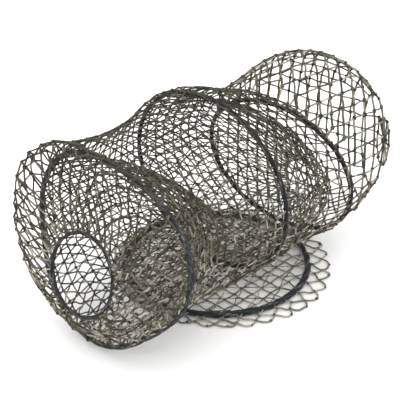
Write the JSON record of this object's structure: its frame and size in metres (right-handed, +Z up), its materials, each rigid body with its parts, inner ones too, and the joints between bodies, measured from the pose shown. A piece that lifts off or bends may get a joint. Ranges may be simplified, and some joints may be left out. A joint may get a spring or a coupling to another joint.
{
  "type": "fish trap",
  "caption": "Collapsible tube-shaped fish trap of knotted net over round wrapped hoops, with a round mouth ring, a closed net bag at the far end and a flat hoop in a slack net beneath.",
  "frame": {"origin": "on the floor under the tube, at the knot near the middle of the base net", "axes": "+X from the mouth ring towards the closed end, +Z up, +Y to the left when looking along +X; the floor is z = 0"},
  "size_m": [0.6583, 0.3586, 0.3138],
  "materials": {
    "net_twine": "matt twisted twine",
    "hoop_wrap": "matt dark cord wound over wire"
  },
  "bodies": {
    "root": {"hoop_near": "hoop_wrap", "hoop_middle": "hoop_wrap", "hoop_far": "hoop_wrap", "hoop_base": "hoop_wrap", "mouth_ring": "hoop_wrap", "net_near_end": "net_twine", "net_body": "net_twine", "net_far_end": "net_twine", "net_base": "net_twine"}
  },
  "joints": []
}
